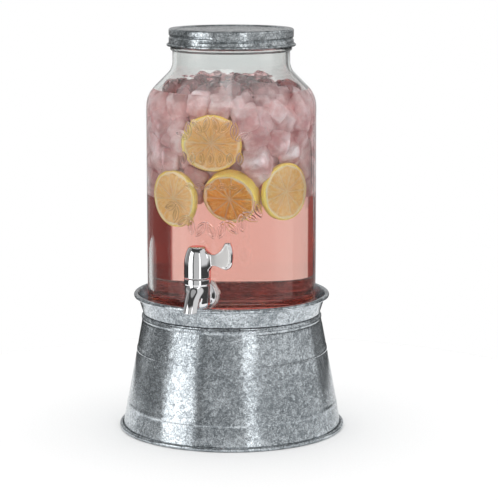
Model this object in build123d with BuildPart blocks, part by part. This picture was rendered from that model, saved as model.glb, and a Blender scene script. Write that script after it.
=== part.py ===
from build123d import *
import math
import os

# Beverage dispenser: a glass jar with a tap, standing on an upturned galvanised tub.
# Origin: the stand's axis on the table. +Z is up, and the tap faces -Y.

os.makedirs("parts", exist_ok=True)

# ---------- driving dimensions, mm ----------
# galvanised sheet and the wires rolled into its edges
SHEET = 1.0
WIRE_RADIUS = 1.35
CURL_TUBE = 1.9
CURL_SWEEP = 290

# stand: conical wall
WALL_ANGLE = 10.5
FOOT_CURL_RADIUS = 118.9
FOOT_CURL_HEIGHT = 2.25
WALL_LIP_Z = 118.0
LIP_BEAD_RISE = 0.6
LIP_UPRIGHT = 1.2
STAND_TOP = 124.0
FLOOR_RADIUS = 94.3
FLOOR_FLANGE = 12.0
RIB_HEIGHTS = (27.0, 86.5)
RIB_WIDTH = 5.0
RIB_RISE = 0.55

# stand: flared collar round the jar
COLLAR_ANGLE = 18.0
COLLAR_BORE = 91.3
COLLAR_BEND = 1.5
RIM_CURL_RADIUS = 102.5
RIM_CURL_Z = 144.0

# jar
JAR_RADIUS = 90.0
JAR_WALL = 4.0
JAR_FOOT_OUTER = 82.0
JAR_FOOT_INNER = 60.0
JAR_PUNT = 3.0
JAR_FLOOR = 7.0
JAR_FLOOR_CROWN = 1.0
NECK_RADIUS = 62.0
SHOULDER_Z = 357.7
NECK_CORNER_Z = 386.0
SHOULDER_ROUND = 31.0
NECK_ROUND = 17.0
JAR_TOP = 426.0
JAR_LIP_ROUND = 1.8
JAR_HEEL_INNER = 8.0
BEAD_Z = 406.8
BEAD_RADIUS = 64.3
BEAD_WIDTH = 4.8
THREAD_WIDTH = 2.6
THREAD_PITCH = 4.4
THREAD_TURNS = 1.1
THREAD_START_Z = 417.6
DRINK_LEVEL = 362.0

# lid
LID_RADIUS = 66.0
LID_SKIN = 0.8
LID_TOP = 428.0
LID_CURL_Z = 410.8
LID_CURL_RADIUS = 68.0
LID_PANEL_RADIUS = 56.5
LID_PANEL_DROP = 1.0
LID_SKIRT_WALL = 1.2
LID_CURL_WIRE = 1.5
LID_SHOULDER_ROUND = 1.8
LID_PANEL_BEND = 0.3
LID_GROOVE_WIDTH = 2.0
LID_GROOVE_OUT = 0.3
LID_GROOVE_Z = 416.0
LID_GROOVE_TURN = -109.0
GASKET_INNER = 57.5
GASKET_OUTER = 63.4

# tap
TAP_Z = 159.7
TAP_REACH = 109.0
SHANK_RADIUS = 8.0
SHANK_HOLE = 8.2
SHANK_END = 66.0
WASHER_RADIUS = 17.0
WASHER_FRONT = 93.2
FLANGE_RADIUS = 15.6
FLANGE_THICK = 2.8
TAP_BODY_RADIUS = 13.3
TAP_BODY_BOTTOM = 148.2
TAP_BODY_TOP = 179.4
TAP_BODY_ROUND = 8.0
TAP_EDGE_ROUND = 0.4
TAP_COLLAR_RADIUS = 13.8
TAP_COLLAR_Z = 173.4
SEAM = 0.3
PLUG_RADIUS = 8.95
PLUG_BORE = 9.0
PLUG_BOTTOM = 153.5
SEAL_WIRE = 0.9
SEAL_CLEARANCE = 0.05
SEAL_HEIGHTS = (172.0, 176.0)
WATERWAY = 4.5
SPOUT_REACH = 22.0
SPOUT_BEND = 17.0
SPOUT_RADIUS = 7.5
SPOUT_BORE = 5.5
SPOUT_TIP_Z = 147.0
SPOUT_AXIS_Z = 166.5
CAP_TOP = 212.3
CAP_TOP_RADIUS = 7.6
CAP_SHOULDER_Z = 193.0
CAP_SIDE_SLOPE = (0, 1)
CAP_TOP_SLOPE = (-1, 0.9)
CAP_EDGE_ROUND = 1.0
LEVER_THICK = 5.0
LEVER_ROOT_X = 6.0
LEVER_ROOT_Z = (185.5, 206.5)
LEVER_NECK_X = 17.0
LEVER_NECK_Z = (193.5, 204.2)
LEVER_UPPER_TIP = (33.0, 215.2)
LEVER_LOWER_TIP = (31.5, 190.5)
LEVER_TIP_X = 38.0
LEVER_TIP_Z = 203.0
LEVER_UPPER_SLOPES = ((1, -0.2), (0.9, 0.5))
LEVER_LOWER_SLOPES = ((-1, 0.05), (-0.6, -1))
NUT_ACROSS_FLATS = 24.0
NUT_THICK = 8.0
INNER_WASHER = 3.0
INNER_WASHER_RADIUS = 15.0
INNER_WASHER_CROWN = 2.0
CUT_MARGIN = 1.0

# contents
SLICE_RADIUS = 29.0
SLICE_THICK = 7.0
THICK_SLICE_RADIUS = 27.0
THICK_SLICE = 15.0
SLICE_EDGE_ROUND = 1.2
SLICE_SECTOR = (-66.0, 98.0)
ICE_SIZE = 21.0
ICE_LAYERS = (274.0, 311.0, 348.0)
ICE_RINGS = ((60.0, 9), (21.0, 3))
ICE_LAYER_TURN = 23.0
ICE_TUMBLE = (31.0, 17.0, 47.0)

# ---------- derived places ----------
wall_tangent = math.tan(math.radians(WALL_ANGLE))
collar_tangent = math.tan(math.radians(COLLAR_ANGLE))
shoulder_turn = math.atan2(JAR_RADIUS - NECK_RADIUS, NECK_CORNER_Z - SHOULDER_Z)
inner_drop = JAR_WALL * math.tan(shoulder_turn / 2)
jar_inner = JAR_RADIUS - JAR_WALL
neck_inner = NECK_RADIUS - JAR_WALL
tap_axis = Axis((0, -TAP_REACH, 0), (0, 0, 1))
tap_section = Plane.XZ.offset(TAP_REACH)


def across(y_out):
    """The upright plane that the tap's shank crosses at distance y_out in front of the axis."""
    return Plane.XZ.offset(y_out)


def curl_start(radius, height, angle, side):
    """Where a sheet that leans by angle runs tangent onto its rolled edge."""
    lean = math.radians(angle)
    return (radius - CURL_TUBE * math.cos(lean), height + side * CURL_TUBE * math.sin(lean))


# ---------- stand ----------
foot_tangent_point = curl_start(FOOT_CURL_RADIUS, FOOT_CURL_HEIGHT, WALL_ANGLE, -1)


def wall_point(z):
    """A point on the middle of the conical wall's sheet."""
    return (foot_tangent_point[0] - (z - foot_tangent_point[1]) * wall_tangent, z)


with BuildPart() as stand_wall:
    with BuildSketch(Plane.XZ):
        with BuildLine():
            lip = wall_point(WALL_LIP_Z)
            Line(wall_point(WALL_LIP_Z), foot_tangent_point)
            CenterArc(
                (FOOT_CURL_RADIUS, FOOT_CURL_HEIGHT), CURL_TUBE, 180 + WALL_ANGLE, CURL_SWEEP
            )
            # the bead under the collar, then the upright lip that the floor sits in
            lip_radius = FLOOR_RADIUS + SHEET / 2
            lip_foot = (lip_radius, STAND_TOP - LIP_UPRIGHT)
            bead_z = (WALL_LIP_Z + lip_foot[1]) / 2
            ThreePointArc(lip, (lip[0] + LIP_BEAD_RISE, bead_z), lip_foot)
            Line(lip_foot, (lip_radius, STAND_TOP))
        trace(line_width=SHEET)
    revolve(axis=Axis.Z)
    # the two ribs rolled outward round the wall
    for rib_z in RIB_HEIGHTS:
        with BuildSketch(Plane.XZ):
            with BuildLine():
                upper = wall_point(rib_z + RIB_WIDTH / 2)
                crest = wall_point(rib_z)
                lower = wall_point(rib_z - RIB_WIDTH / 2)
                ThreePointArc(upper, (crest[0] + SHEET / 2 + RIB_RISE, rib_z), lower)
                Line(lower, upper)
            make_face()
        revolve(axis=Axis.Z)
    # the rolled foot is worn flat where it stands
    Cylinder(
        FOOT_CURL_RADIUS + 2 * CURL_TUBE,
        FOOT_CURL_HEIGHT,
        align=(Align.CENTER, Align.CENTER, Align.MAX),
        mode=Mode.SUBTRACT,
    )

with BuildPart() as stand_floor:
    with BuildSketch(Plane.XY.offset(STAND_TOP - SHEET)):
        Circle(FLOOR_RADIUS)
    extrude(amount=SHEET)
    with BuildSketch(Plane.XY.offset(STAND_TOP - FLOOR_FLANGE)):
        Circle(FLOOR_RADIUS)
        Circle(FLOOR_RADIUS - SHEET, mode=Mode.SUBTRACT)
    extrude(amount=FLOOR_FLANGE)

with BuildPart() as stand_collar:
    with BuildSketch(Plane.XZ):
        with BuildLine():
            rim_point = curl_start(RIM_CURL_RADIUS, RIM_CURL_Z, COLLAR_ANGLE, 1)
            base_z = STAND_TOP + SHEET / 2
            base_radius = rim_point[0] - (rim_point[1] - base_z) * collar_tangent
            FilletPolyline(
                (COLLAR_BORE, base_z), (base_radius, base_z), rim_point, radius=COLLAR_BEND
            )
            CenterArc((RIM_CURL_RADIUS, RIM_CURL_Z), CURL_TUBE, 180 - COLLAR_ANGLE, -CURL_SWEEP)
        trace(line_width=SHEET)
    revolve(axis=Axis.Z)


def ring_wire(radius, height):
    """Profile of a wire ring that lies inside a rolled edge, ready to revolve."""
    with BuildSketch(Plane.XZ) as section:
        with Locations((radius, height)):
            Circle(WIRE_RADIUS)
    return section.sketch


foot_wire_section = ring_wire(FOOT_CURL_RADIUS, FOOT_CURL_HEIGHT)
rim_wire_section = ring_wire(RIM_CURL_RADIUS, RIM_CURL_Z)

with BuildPart() as stand_foot_wire:
    revolve(foot_wire_section, axis=Axis.Z)

with BuildPart() as stand_rim_wire:
    revolve(rim_wire_section, axis=Axis.Z)

# ---------- jar ----------
with BuildPart() as jar:
    with BuildSketch(Plane.XZ):
        with BuildLine():
            Line((0, STAND_TOP + JAR_PUNT), (JAR_FOOT_INNER, STAND_TOP))
            FilletPolyline(
                (JAR_FOOT_INNER, STAND_TOP),
                (JAR_RADIUS, STAND_TOP),
                (JAR_RADIUS, SHOULDER_Z),
                (NECK_RADIUS, NECK_CORNER_Z),
                (NECK_RADIUS, JAR_TOP),
                (neck_inner, JAR_TOP),
                (neck_inner, NECK_CORNER_Z - inner_drop),
                (jar_inner, SHOULDER_Z - inner_drop),
                (jar_inner, STAND_TOP + JAR_FLOOR),
                (0, STAND_TOP + JAR_FLOOR + JAR_FLOOR_CROWN),
                radius=[
                    JAR_RADIUS - JAR_FOOT_OUTER,
                    SHOULDER_ROUND,
                    NECK_ROUND,
                    JAR_LIP_ROUND,
                    JAR_LIP_ROUND,
                    NECK_ROUND + JAR_WALL,
                    SHOULDER_ROUND - JAR_WALL,
                    JAR_HEEL_INNER,
                ],
            )
            Line((0, STAND_TOP + JAR_FLOOR + JAR_FLOOR_CROWN), (0, STAND_TOP + JAR_PUNT))
        make_face()
        # the transfer bead below the thread
        with Locations((BEAD_RADIUS - BEAD_WIDTH / 2, BEAD_Z)):
            Circle(BEAD_WIDTH / 2)
    revolve(axis=Axis.Z)
    # one helical thread round the finish
    with BuildLine():
        thread_path = Helix(
            THREAD_PITCH, THREAD_PITCH * THREAD_TURNS, NECK_RADIUS, center=(0, 0, THREAD_START_Z)
        )
    with BuildSketch(Plane(thread_path @ 0, x_dir=(1, 0, 0), z_dir=thread_path % 0)):
        Circle(THREAD_WIDTH / 2)
    sweep(path=thread_path, is_frenet=True)
    # the hole for the tap's shank, through the front of the wall only
    with BuildSketch(across(SHANK_END)):
        with Locations((0, TAP_Z)):
            Circle(SHANK_HOLE)
    extrude(amount=TAP_REACH - SHANK_END, mode=Mode.SUBTRACT)

# ---------- lid ----------
with BuildPart() as lid_gasket:
    with BuildSketch(Plane.XY.offset(JAR_TOP)):
        Circle(GASKET_OUTER)
        Circle(GASKET_INNER, mode=Mode.SUBTRACT)
    extrude(amount=LID_TOP - LID_SKIN - JAR_TOP)

lid_groove = Helix(
    THREAD_PITCH,
    THREAD_PITCH * THREAD_TURNS,
    LID_RADIUS + LID_GROOVE_OUT,
    center=(0, 0, LID_GROOVE_Z),
).rotate(Axis.Z, LID_GROOVE_TURN)

with BuildPart() as lid_shell:
    with BuildSketch(Plane.XZ):
        with BuildLine():
            panel_top = LID_TOP - LID_PANEL_DROP
            skirt_inner = LID_RADIUS - LID_SKIRT_WALL
            FilletPolyline(
                (0, panel_top),
                (LID_PANEL_RADIUS, panel_top),
                (LID_PANEL_RADIUS, LID_TOP),
                (LID_RADIUS, LID_TOP),
                (LID_RADIUS, LID_CURL_Z),
                (skirt_inner, LID_CURL_Z),
                (skirt_inner, LID_TOP - LID_SKIN),
                (LID_PANEL_RADIUS + LID_SKIN, LID_TOP - LID_SKIN),
                (LID_PANEL_RADIUS + LID_SKIN, panel_top - LID_SKIN),
                (0, panel_top - LID_SKIN),
                radius=[
                    LID_PANEL_BEND,
                    2 * LID_PANEL_BEND,
                    LID_SHOULDER_ROUND,
                    LID_PANEL_BEND,
                    LID_PANEL_BEND,
                    2 * LID_PANEL_BEND,
                    LID_PANEL_BEND / 2,
                    LID_PANEL_BEND / 2,
                ],
            )
            Line((0, panel_top - LID_SKIN), (0, panel_top))
        make_face()
        # the curled lower edge
        with Locations((LID_CURL_RADIUS - LID_CURL_WIRE, LID_CURL_Z)):
            Circle(LID_CURL_WIRE)
    revolve(axis=Axis.Z)
    # the rolled thread shows as a helical groove
    with BuildSketch(Plane(lid_groove @ 0, z_dir=lid_groove % 0)):
        Circle(LID_GROOVE_WIDTH / 2)
    sweep(path=lid_groove, is_frenet=True, mode=Mode.SUBTRACT)

# ---------- tap ----------
with BuildPart() as tap_body:
    # threaded shank, flange and barrel
    with BuildSketch(across(SHANK_END)):
        with Locations((0, TAP_Z)):
            Circle(SHANK_RADIUS)
    extrude(amount=TAP_REACH - SHANK_END)
    with BuildSketch(across(WASHER_FRONT)):
        with Locations((0, TAP_Z)):
            Circle(FLANGE_RADIUS)
    extrude(amount=FLANGE_THICK)
    # upright valve body with a rounded bottom
    with BuildSketch(tap_section):
        with BuildLine():
            FilletPolyline(
                (0, TAP_BODY_BOTTOM),
                (TAP_BODY_RADIUS, TAP_BODY_BOTTOM),
                (TAP_BODY_RADIUS, TAP_COLLAR_Z),
                (TAP_COLLAR_RADIUS, TAP_COLLAR_Z),
                (TAP_COLLAR_RADIUS, TAP_BODY_TOP),
                (0, TAP_BODY_TOP),
                radius=[TAP_BODY_ROUND, 0, TAP_EDGE_ROUND, TAP_EDGE_ROUND],
            )
            Line((0, TAP_BODY_TOP), (0, TAP_BODY_BOTTOM))
        make_face()
    revolve(axis=tap_axis)
    # spout
    with BuildLine(Plane.YZ):
        spout_path = FilletPolyline(
            (-TAP_REACH, SPOUT_AXIS_Z),
            (-TAP_REACH - SPOUT_REACH, SPOUT_AXIS_Z),
            (-TAP_REACH - SPOUT_REACH, SPOUT_TIP_Z),
            radius=SPOUT_BEND,
        )
    with BuildSketch(Plane(spout_path @ 0, z_dir=spout_path % 0)):
        Circle(SPOUT_RADIUS)
    sweep(path=spout_path)
    with BuildSketch(Plane(spout_path @ 0, z_dir=spout_path % 0)):
        Circle(SPOUT_BORE)
    sweep(path=spout_path, mode=Mode.SUBTRACT)
    # valve bore and the way in from the jar
    with BuildSketch(Plane.XY.offset(PLUG_BOTTOM - SEAM)):
        with Locations((0, -TAP_REACH)):
            Circle(PLUG_BORE)
    extrude(amount=TAP_BODY_TOP - PLUG_BOTTOM + 2 * SEAM, mode=Mode.SUBTRACT)
    with BuildSketch(across(SHANK_END)):
        with Locations((0, TAP_Z)):
            Circle(WATERWAY)
    extrude(amount=TAP_REACH - SHANK_END, mode=Mode.SUBTRACT)

with BuildPart() as tap_plug:
    with BuildSketch(Plane.XY.offset(PLUG_BOTTOM)):
        with Locations((0, -TAP_REACH)):
            Circle(PLUG_RADIUS)
    extrude(amount=TAP_BODY_TOP + SEAM - PLUG_BOTTOM)
    # cross port, shut when the lever points sideways
    with BuildSketch(Plane.YZ):
        with Locations((-TAP_REACH, (TAP_Z + SPOUT_AXIS_Z) / 2)):
            Circle(WATERWAY)
    extrude(amount=PLUG_RADIUS + CUT_MARGIN, both=True, mode=Mode.SUBTRACT)
    # seal grooves above the port
    with BuildSketch(tap_section):
        for seal_z in SEAL_HEIGHTS:
            with Locations((PLUG_RADIUS - SEAL_WIRE, seal_z)):
                Circle(SEAL_WIRE + SEAL_CLEARANCE)
    revolve(axis=tap_axis, mode=Mode.SUBTRACT)

with BuildPart() as tap_o_rings:
    with BuildSketch(tap_section):
        for seal_z in SEAL_HEIGHTS:
            with Locations((PLUG_RADIUS - SEAL_WIRE, seal_z)):
                Circle(SEAL_WIRE)
    revolve(axis=tap_axis)

with BuildPart() as tap_handle:
    # bullet-shaped cap with a flat top, fixed to the head of the plug
    with BuildSketch(tap_section):
        with BuildLine():
            cap_foot = TAP_BODY_TOP + SEAM
            cap_shoulder = (TAP_COLLAR_RADIUS, CAP_SHOULDER_Z)
            cap_edge = (CAP_TOP_RADIUS, CAP_TOP)
            Line((0, cap_foot), (TAP_COLLAR_RADIUS, cap_foot))
            Line((TAP_COLLAR_RADIUS, cap_foot), cap_shoulder)
            Spline(cap_shoulder, cap_edge, tangents=(CAP_SIDE_SLOPE, CAP_TOP_SLOPE))
            Line(cap_edge, (0, CAP_TOP))
            Line((0, CAP_TOP), (0, cap_foot))
        make_face()
        fillet(
            [corner for corner in vertices() if corner.X > CAP_TOP_RADIUS / 2],
            radius=CAP_EDGE_ROUND,
        )
    revolve(axis=tap_axis)
    # fan-shaped lever, seen from the front
    with BuildSketch(across(TAP_REACH - LEVER_THICK / 2)):
        with BuildLine():
            upper_root = (LEVER_ROOT_X, LEVER_ROOT_Z[1])
            lower_root = (LEVER_ROOT_X, LEVER_ROOT_Z[0])
            upper_neck = (LEVER_NECK_X, LEVER_NECK_Z[1])
            lower_neck = (LEVER_NECK_X, LEVER_NECK_Z[0])
            Spline(upper_root, upper_neck, LEVER_UPPER_TIP, tangents=LEVER_UPPER_SLOPES)
            ThreePointArc(LEVER_UPPER_TIP, (LEVER_TIP_X, LEVER_TIP_Z), LEVER_LOWER_TIP)
            Spline(LEVER_LOWER_TIP, lower_neck, lower_root, tangents=LEVER_LOWER_SLOPES)
            Line(lower_root, upper_root)
        make_face()
    extrude(amount=LEVER_THICK)

with BuildPart() as tap_outer_washer:
    with BuildSketch(across(jar_inner)):
        with Locations((0, TAP_Z)):
            Circle(WASHER_RADIUS)
            Circle(SHANK_RADIUS, mode=Mode.SUBTRACT)
    extrude(amount=WASHER_FRONT - jar_inner)
    # its back is moulded to the curve of the glass
    with BuildSketch(Plane.XY.offset(TAP_Z)):
        Circle(JAR_RADIUS)
    extrude(amount=WASHER_RADIUS + CUT_MARGIN, both=True, mode=Mode.SUBTRACT)

with BuildPart() as tap_inner_washer:
    with BuildSketch(across(jar_inner - INNER_WASHER - INNER_WASHER_CROWN)):
        with Locations((0, TAP_Z)):
            Circle(INNER_WASHER_RADIUS)
            Circle(SHANK_RADIUS, mode=Mode.SUBTRACT)
    extrude(amount=INNER_WASHER + INNER_WASHER_CROWN)
    # its front is moulded to the curve of the glass
    with BuildSketch(Plane.XY.offset(TAP_Z)):
        Circle(JAR_RADIUS + CUT_MARGIN)
        Circle(jar_inner, mode=Mode.SUBTRACT)
    extrude(amount=INNER_WASHER_RADIUS + CUT_MARGIN, both=True, mode=Mode.SUBTRACT)

with BuildPart() as tap_nut:
    with BuildSketch(across(jar_inner - INNER_WASHER - INNER_WASHER_CROWN - NUT_THICK)):
        with Locations((0, TAP_Z)):
            RegularPolygon(NUT_ACROSS_FLATS / 2, 6, major_radius=False)
            Circle(SHANK_RADIUS, mode=Mode.SUBTRACT)
    extrude(amount=NUT_THICK)

# ---------- contents ----------
def facing(turn, pitch=0.0):
    """Unit vector that points outward at an angle about Z from -Y, raised by pitch."""
    flat = math.cos(math.radians(pitch))
    angle = math.radians(turn)
    return Vector(flat * math.sin(angle), -flat * math.cos(angle), math.sin(math.radians(pitch)))


# place round the axis, distance from it, height, direction faced, pitch, radius, thickness
SLICES = (
    (2.0, 68.0, 314.0, 18.0, 0.0, SLICE_RADIUS, SLICE_THICK),
    (-29.0, 74.0, 255.0, -29.0, 0.0, SLICE_RADIUS, SLICE_THICK),
    (19.0, 62.0, 259.0, 0.0, -20.0, THICK_SLICE_RADIUS, THICK_SLICE),
    (63.0, 74.0, 262.0, 63.0, 0.0, SLICE_RADIUS, SLICE_THICK),
)


def lemon_slice(turn, distance, height, faced, pitch, radius, thickness):
    """One round slice, lying upright in the drink."""
    centre = facing(turn) * distance + Vector(0, 0, height)
    with BuildPart() as piece:
        with BuildSketch(Plane(centre, z_dir=facing(faced, pitch))):
            Circle(radius)
        extrude(amount=thickness / 2, both=True)
        fillet(piece.edges().filter_by(GeomType.CIRCLE), radius=SLICE_EDGE_ROUND)
    return piece.part


def ice_places():
    """Centres and turns of the cubes: two rings to a layer, none where the slices lie."""
    for layer, height in enumerate(ICE_LAYERS):
        for ring_radius, count in ICE_RINGS:
            for n in range(count):
                turn = 360.0 * n / count + ICE_LAYER_TURN * layer
                front = (turn + 180) % 360 - 180
                if ring_radius == ICE_RINGS[0][0] and SLICE_SECTOR[0] < front < SLICE_SECTOR[1]:
                    continue
                place = facing(turn) * ring_radius + Vector(0, 0, height)
                roll = ICE_TUMBLE[0] * n + ICE_TUMBLE[1] * layer
                yield place, (roll, ICE_TUMBLE[2] * n, turn)


slices = [lemon_slice(*each) for each in SLICES]

with BuildPart() as ice_cubes:
    for place, turns in ice_places():
        with Locations(Location(place, turns)):
            Box(ICE_SIZE, ICE_SIZE, ICE_SIZE)

with BuildPart() as drink:
    with BuildSketch(Plane.XZ):
        with BuildLine():
            FilletPolyline(
                (0, STAND_TOP + JAR_FLOOR + JAR_FLOOR_CROWN),
                (jar_inner, STAND_TOP + JAR_FLOOR),
                (jar_inner, SHOULDER_Z - inner_drop),
                (neck_inner, NECK_CORNER_Z - inner_drop),
                (neck_inner, JAR_TOP),
                (0, JAR_TOP),
                radius=[JAR_HEEL_INNER, SHOULDER_ROUND - JAR_WALL, NECK_ROUND + JAR_WALL, 0],
            )
            Line((0, JAR_TOP), (0, STAND_TOP + JAR_FLOOR + JAR_FLOOR_CROWN))
        make_face()
    revolve(axis=Axis.Z)
    split(bisect_by=Plane.XY.offset(DRINK_LEVEL), keep=Keep.BOTTOM)
    add(ice_cubes.part, mode=Mode.SUBTRACT)
    for each in slices:
        add(each, mode=Mode.SUBTRACT)
    add(tap_nut.part, mode=Mode.SUBTRACT)
    add(tap_inner_washer.part, mode=Mode.SUBTRACT)
    with BuildSketch(across(SHANK_END)):
        with Locations((0, TAP_Z)):
            Circle(SHANK_RADIUS)
    extrude(amount=JAR_RADIUS - SHANK_END, mode=Mode.SUBTRACT)

# ---------- names and files ----------
pieces = {
    "stand_wall": stand_wall.part,
    "stand_floor": stand_floor.part,
    "stand_collar": stand_collar.part,
    "stand_foot_wire": stand_foot_wire.part,
    "stand_rim_wire": stand_rim_wire.part,
    "jar": jar.part,
    "lid_gasket": lid_gasket.part,
    "lid_shell": lid_shell.part,
    "tap_body": tap_body.part,
    "tap_plug": tap_plug.part,
    "tap_o_rings": tap_o_rings.part,
    "tap_handle": tap_handle.part,
    "tap_outer_washer": tap_outer_washer.part,
    "tap_inner_washer": tap_inner_washer.part,
    "tap_nut": tap_nut.part,
    "ice_cubes": ice_cubes.part,
    "drink": drink.part,
}
for number, each in enumerate(slices, start=1):
    pieces[f"lemon_slice_{number}"] = each

for name, shape in pieces.items():
    shape.label = name
    export_step(shape, f"parts/{name}.step")
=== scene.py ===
import math

import bmesh
import bpy
import numpy as np
from mathutils import Matrix, Vector


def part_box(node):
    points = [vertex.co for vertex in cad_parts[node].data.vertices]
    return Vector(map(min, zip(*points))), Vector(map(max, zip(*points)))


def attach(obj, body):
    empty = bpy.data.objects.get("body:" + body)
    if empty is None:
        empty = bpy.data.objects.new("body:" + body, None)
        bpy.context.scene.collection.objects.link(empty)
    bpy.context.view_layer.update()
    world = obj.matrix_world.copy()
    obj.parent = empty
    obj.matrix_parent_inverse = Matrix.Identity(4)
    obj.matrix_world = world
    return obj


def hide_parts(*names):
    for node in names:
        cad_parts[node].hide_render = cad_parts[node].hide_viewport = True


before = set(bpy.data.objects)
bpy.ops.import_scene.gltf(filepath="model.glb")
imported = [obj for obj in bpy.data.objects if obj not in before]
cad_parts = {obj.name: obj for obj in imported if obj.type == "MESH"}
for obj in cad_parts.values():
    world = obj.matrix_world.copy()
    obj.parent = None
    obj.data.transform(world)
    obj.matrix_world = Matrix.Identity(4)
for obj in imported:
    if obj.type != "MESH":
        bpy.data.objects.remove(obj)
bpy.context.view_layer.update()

MM = 0.001
# points closer together than this, in metres, become one
WELD = 2e-6

# ---------- places read from the frame ----------
wall_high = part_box("stand_wall")[1]
collar_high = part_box("stand_collar")[1]
jar_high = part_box("jar")[1]
lid_low, lid_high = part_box("lid_shell")
drink_low, drink_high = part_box("drink")

# thickness of the glass at the bottom of the jar, which stands on the floor of the stand
JAR_FLOOR = 7 * MM
stand_top = drink_low.z - JAR_FLOOR
jar_radius = jar_high.x


# ---------- small helpers for meshes ----------
def arc(centre, radius, start, sweep, steps=16):
    """Points on an arc in the (radius, height) plane, angles in degrees."""
    angles = np.radians(np.linspace(start, start + sweep, steps + 1))
    return np.c_[centre[0] + radius * np.cos(angles), centre[1] + radius * np.sin(angles)]


def line(start, end, steps=8):
    """Evenly spaced points from start to end."""
    return np.linspace(start, end, steps + 1)


def join(*runs):
    """One path from several runs, without points that repeat."""
    points = np.concatenate([np.asarray(run, float) for run in runs])
    keep = np.r_[True, np.linalg.norm(np.diff(points, axis=0), axis=1) > 1e-6]
    return points[keep]


def smooth_step(value, low, high):
    """0 below low, 1 above high, and a smooth rise between."""
    t = np.clip((value - low) / (high - low), 0, 1)
    return t * t * (3 - 2 * t)


def corner(point, before, after, radius, steps=10):
    """An arc of the given radius that rounds the corner at point."""
    point = np.asarray(point, float)
    a = np.asarray(before, float) - point
    b = np.asarray(after, float) - point
    a /= np.linalg.norm(a)
    b /= np.linalg.norm(b)
    half = math.acos(float(np.clip(a @ b, -1, 1))) / 2
    reach = radius / math.tan(half)
    middle = point + (a + b) / np.linalg.norm(a + b) * radius / math.sin(half)
    start = point + a * reach - middle
    end = point + b * reach - middle
    first = math.atan2(start[1], start[0])
    turn = (math.atan2(end[1], end[0]) - first + math.pi) % (2 * math.pi) - math.pi
    return arc(middle, radius, math.degrees(first), math.degrees(turn), steps)


def sheet_outline(path, thickness):
    """Closed outline of a sheet of even thickness that follows a path."""
    along = np.gradient(path, axis=0)
    along /= np.linalg.norm(along, axis=1)[:, None]
    side = np.c_[-along[:, 1], along[:, 0]] * thickness / 2
    return np.concatenate([path + side, (path - side)[::-1]])


def between(value, low, full, fading, high):
    """0 below low, 1 from full to fading, 0 above high, and smooth in between."""
    return smooth_step(value, low, full) * (1 - smooth_step(value, fading, high))


def add_object(name, data):
    """A new object in the scene."""
    thing = bpy.data.objects.new(name, data)
    bpy.context.scene.collection.objects.link(thing)
    return thing


def new_mesh(name, points, faces, body, material, slot, *replaced):
    """A piece of the object from points and faces, riding on a body, in place of CAD nodes."""
    mesh = bpy.data.meshes.new(name)
    mesh.from_pydata([tuple(p) for p in points], [], [tuple(f) for f in faces])
    build = bmesh.new()
    build.from_mesh(mesh)
    bmesh.ops.remove_doubles(build, verts=build.verts, dist=WELD)
    bmesh.ops.recalc_face_normals(build, faces=build.faces)
    for face in build.faces:
        face.smooth = True
    build.to_mesh(mesh)
    build.free()
    piece = add_object(name, mesh)
    mesh.materials.append(material)
    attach(piece, body)
    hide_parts(*replaced)
    return piece


def point_values(piece, name, values):
    """Stores a number or a vector at each point of a piece, for its material to read."""
    kind, field = ("FLOAT", "value") if values.ndim == 1 else ("FLOAT_VECTOR", "vector")
    attribute = piece.data.attributes.new(name, kind, "POINT")
    attribute.data.foreach_set(field, values.astype(np.float32).ravel())


def point_places(piece):
    """Places of a piece's points, in metres."""
    return np.array([vertex.co for vertex in piece.data.vertices])


def grid_faces(rows, columns, wrap_rows, wrap_columns, first=0):
    """Quads between neighbouring points of a grid stored row by row."""
    row_count = rows if wrap_rows else rows - 1
    column_count = columns if wrap_columns else columns - 1
    r, c = np.meshgrid(np.arange(row_count), np.arange(column_count), indexing="ij")
    r2, c2 = (r + 1) % rows, (c + 1) % columns
    quads = np.stack([r * columns + c, r2 * columns + c, r2 * columns + c2, r * columns + c2], -1)
    return (quads.reshape(-1, 4) + first).tolist()


def lathe_points(outline, angles, radial=None):
    """Grid of points: the outline's (radius, height) turned to each angle about Z from -Y."""
    radius, height = outline[:, 0][None, :], np.maximum(outline[:, 1], 0)[None, :]
    turn = angles[:, None]
    if radial is not None:
        radius = radius + radial(turn, height, radius)
    x = radius * np.sin(turn)
    y = -radius * np.cos(turn)
    z = np.broadcast_to(height, x.shape)
    return np.stack([x, y, z], -1).reshape(-1, 3)


def lathe(name, outline, angles, body, material, slot, replaced, radial, closed=True):
    """A turned piece. closed says that the outline's end joins its start."""
    points = lathe_points(outline, angles, radial)
    faces = grid_faces(len(angles), len(outline), True, closed)
    return new_mesh(name, points, faces, body, material, slot, replaced)


def turn_steps(count):
    """Evenly spaced angles round the axis."""
    return np.linspace(0, 2 * math.pi, count, endpoint=False)


def angle_about(turn, centre_degrees):
    """Signed angle from a centre, in radians, between -pi and pi."""
    return (turn - math.radians(centre_degrees) + math.pi) % (2 * math.pi) - math.pi


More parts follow.
